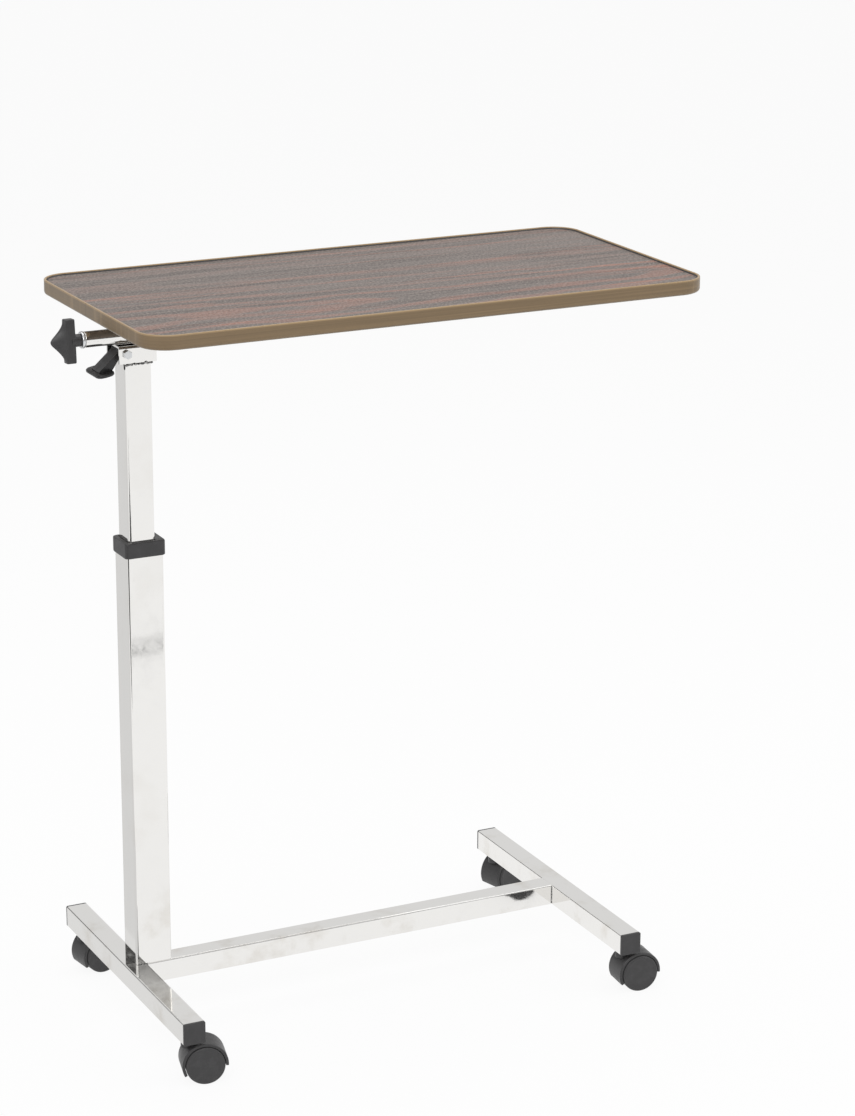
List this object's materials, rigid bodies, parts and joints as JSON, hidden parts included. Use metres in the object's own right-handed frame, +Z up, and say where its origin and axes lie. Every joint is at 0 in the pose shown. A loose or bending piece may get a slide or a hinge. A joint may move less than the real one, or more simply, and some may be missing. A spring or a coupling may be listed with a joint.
{
  "type": "overbed table",
  "caption": "Overbed table with a tilting laminate top on a telescopic chrome column, paddle height release, clamp knob and H-shaped base on swivel twin-wheel casters.",
  "frame": {"origin": "on the floor, under the middle of the bounding box", "axes": "+Z up; +X from the column end to the free end of the top; +Y across the top, away from the release lever's bolt head"},
  "size_m": [0.8108, 0.4246, 0.9572],
  "materials": {
    "chrome": "bright chrome plate on steel tube",
    "zinc_steel": "bright zinc plate",
    "black_plastic": "fine-textured charcoal moulding",
    "black_casting": "charcoal coated casting",
    "wheel_plastic": "satin charcoal wheel",
    "guide_plastic": "natural nylon",
    "core_board": "particle board",
    "walnut_laminate": "dark walnut print laminate, satin",
    "edge_vinyl": "olive-brown vinyl edge moulding"
  },
  "bodies": {
    "base": {"left_foot_tube": "chrome", "right_foot_tube": "chrome", "base_rail": "chrome", "outer_column": "chrome", "column_collar": "black_plastic", "foot_cap_front_left": "black_plastic", "foot_cap_rear_left": "black_plastic", "foot_cap_front_right": "black_plastic", "foot_cap_rear_right": "black_plastic", "caster_socket_front_left": "zinc_steel", "caster_socket_rear_left": "zinc_steel", "caster_socket_front_right": "zinc_steel", "caster_socket_rear_right": "zinc_steel"},
    "lifting_head": {"inner_column": "chrome", "lower_guide": "guide_plastic", "head_bracket": "chrome", "lever_pivot_bolt": "zinc_steel", "lever_pivot_nut": "zinc_steel", "return_spring": "zinc_steel", "tilt_tube": "chrome", "tube_end_washer": "zinc_steel", "clamp_disc": "zinc_steel", "clamp_nut": "zinc_steel"},
    "table_top": {"top_saddle_near": "zinc_steel", "top_saddle_far": "zinc_steel", "table_panel": "core_board", "table_laminate": "walnut_laminate", "edge_moulding": "edge_vinyl"},
    "clamp_knob": {"tilt_knob": "black_plastic", "clamp_rod": "zinc_steel"},
    "release_lever": {"release_lever": "black_casting"},
    "brake_rod": {"release_rod": "zinc_steel", "brake_wedge": "zinc_steel"},
    "caster_front_left": {"caster_hood_front_left": "black_plastic", "caster_stem_front_left": "zinc_steel", "caster_axle_front_left": "zinc_steel"},
    "caster_rear_left": {"caster_hood_rear_left": "black_plastic", "caster_stem_rear_left": "zinc_steel", "caster_axle_rear_left": "zinc_steel"},
    "caster_front_right": {"caster_hood_front_right": "black_plastic", "caster_stem_front_right": "zinc_steel", "caster_axle_front_right": "zinc_steel"},
    "caster_rear_right": {"caster_hood_rear_right": "black_plastic", "caster_stem_rear_right": "zinc_steel", "caster_axle_rear_right": "zinc_steel"},
    "wheel_front_left_inner": {"caster_wheel_front_left_inner": "wheel_plastic"},
    "wheel_front_left_outer": {"caster_wheel_front_left_outer": "wheel_plastic"},
    "wheel_rear_left_inner": {"caster_wheel_rear_left_inner": "wheel_plastic"},
    "wheel_rear_left_outer": {"caster_wheel_rear_left_outer": "wheel_plastic"},
    "wheel_front_right_inner": {"caster_wheel_front_right_inner": "wheel_plastic"},
    "wheel_front_right_outer": {"caster_wheel_front_right_outer": "wheel_plastic"},
    "wheel_rear_right_inner": {"caster_wheel_rear_right_inner": "wheel_plastic"},
    "wheel_rear_right_outer": {"caster_wheel_rear_right_outer": "wheel_plastic"}
  },
  "joints": [
    {"name": "column_lift", "type": "slide", "parent": "base", "child": "lifting_head", "axis": [0, 0, 1], "range_m": [-0.215, 0.18]},
    {"name": "table_tilt", "type": "hinge", "parent": "lifting_head", "child": "table_top", "pos_m": [-0.3351, 0, 0.9153], "axis": [1, 0, 0], "range_deg": [-45, 45]},
    {"name": "clamp_knob_turn", "type": "hinge", "parent": "lifting_head", "child": "clamp_knob", "pos_m": [-0.3697, 0, 0.9153], "axis": [-1, 0, 0], "range_deg": [-180, 180]},
    {"name": "lever_squeeze", "type": "hinge", "parent": "lifting_head", "child": "release_lever", "pos_m": [-0.3148, 0.00675, 0.895], "axis": [0, 1, 0], "range_deg": [0, 14.5]},
    {"name": "brake_rod_push", "type": "slide", "parent": "lifting_head", "child": "brake_rod", "axis": [0, 0, 1], "range_m": [-0.0048, 0], "stiffness_N_per_m": 800, "springref_m": 0.012, "deforming": ["return_spring"]},
    {"name": "swivel_front_left", "type": "hinge", "parent": "base", "child": "caster_front_left", "pos_m": [-0.3206, -0.182, 0.055], "axis": [0, 0, 1], "continuous": true},
    {"name": "roll_front_left_inner", "type": "hinge", "parent": "caster_front_left", "child": "wheel_front_left_inner", "pos_m": [-0.30119, -0.18684, 0.025], "axis": [0.2419, 0.9703, 0], "continuous": true},
    {"name": "roll_front_left_outer", "type": "hinge", "parent": "caster_front_left", "child": "wheel_front_left_outer", "pos_m": [-0.30119, -0.18684, 0.025], "axis": [0.2419, 0.9703, 0], "continuous": true},
    {"name": "swivel_rear_left", "type": "hinge", "parent": "base", "child": "caster_rear_left", "pos_m": [-0.3206, 0.182, 0.055], "axis": [0, 0, 1], "continuous": true},
    {"name": "roll_rear_left_inner", "type": "hinge", "parent": "caster_rear_left", "child": "wheel_rear_left_inner", "pos_m": [-0.30079, 0.18478, 0.025], "axis": [-0.1392, 0.9903, 0], "continuous": true},
    {"name": "roll_rear_left_outer", "type": "hinge", "parent": "caster_rear_left", "child": "wheel_rear_left_outer", "pos_m": [-0.30079, 0.18478, 0.025], "axis": [-0.1392, 0.9903, 0], "continuous": true},
    {"name": "swivel_front_right", "type": "hinge", "parent": "base", "child": "caster_front_right", "pos_m": [0.3024, -0.182, 0.055], "axis": [0, 0, 1], "continuous": true},
    {"name": "roll_front_right_inner", "type": "hinge", "parent": "caster_front_right", "child": "wheel_front_right_inner", "pos_m": [0.32232, -0.18374, 0.025], "axis": [0.0872, 0.9962, 0], "continuous": true},
    {"name": "roll_front_right_outer", "type": "hinge", "parent": "caster_front_right", "child": "wheel_front_right_outer", "pos_m": [0.32232, -0.18374, 0.025], "axis": [0.0872, 0.9962, 0], "continuous": true},
    {"name": "swivel_rear_right", "type": "hinge", "parent": "base", "child": "caster_rear_right", "pos_m": [0.3024, 0.182, 0.055], "axis": [0, 0, 1], "continuous": true},
    {"name": "roll_rear_right_inner", "type": "hinge", "parent": "caster_rear_right", "child": "wheel_rear_right_inner", "pos_m": [0.32181, 0.18684, 0.025], "axis": [-0.2419, 0.9703, 0], "continuous": true},
    {"name": "roll_rear_right_outer", "type": "hinge", "parent": "caster_rear_right", "child": "wheel_rear_right_outer", "pos_m": [0.32181, 0.18684, 0.025], "axis": [-0.2419, 0.9703, 0], "continuous": true}
  ],
  "couplings": [
    {"joint": "lever_squeeze", "follows": "brake_rod_push", "rad_per_m": -52.632}
  ]
}
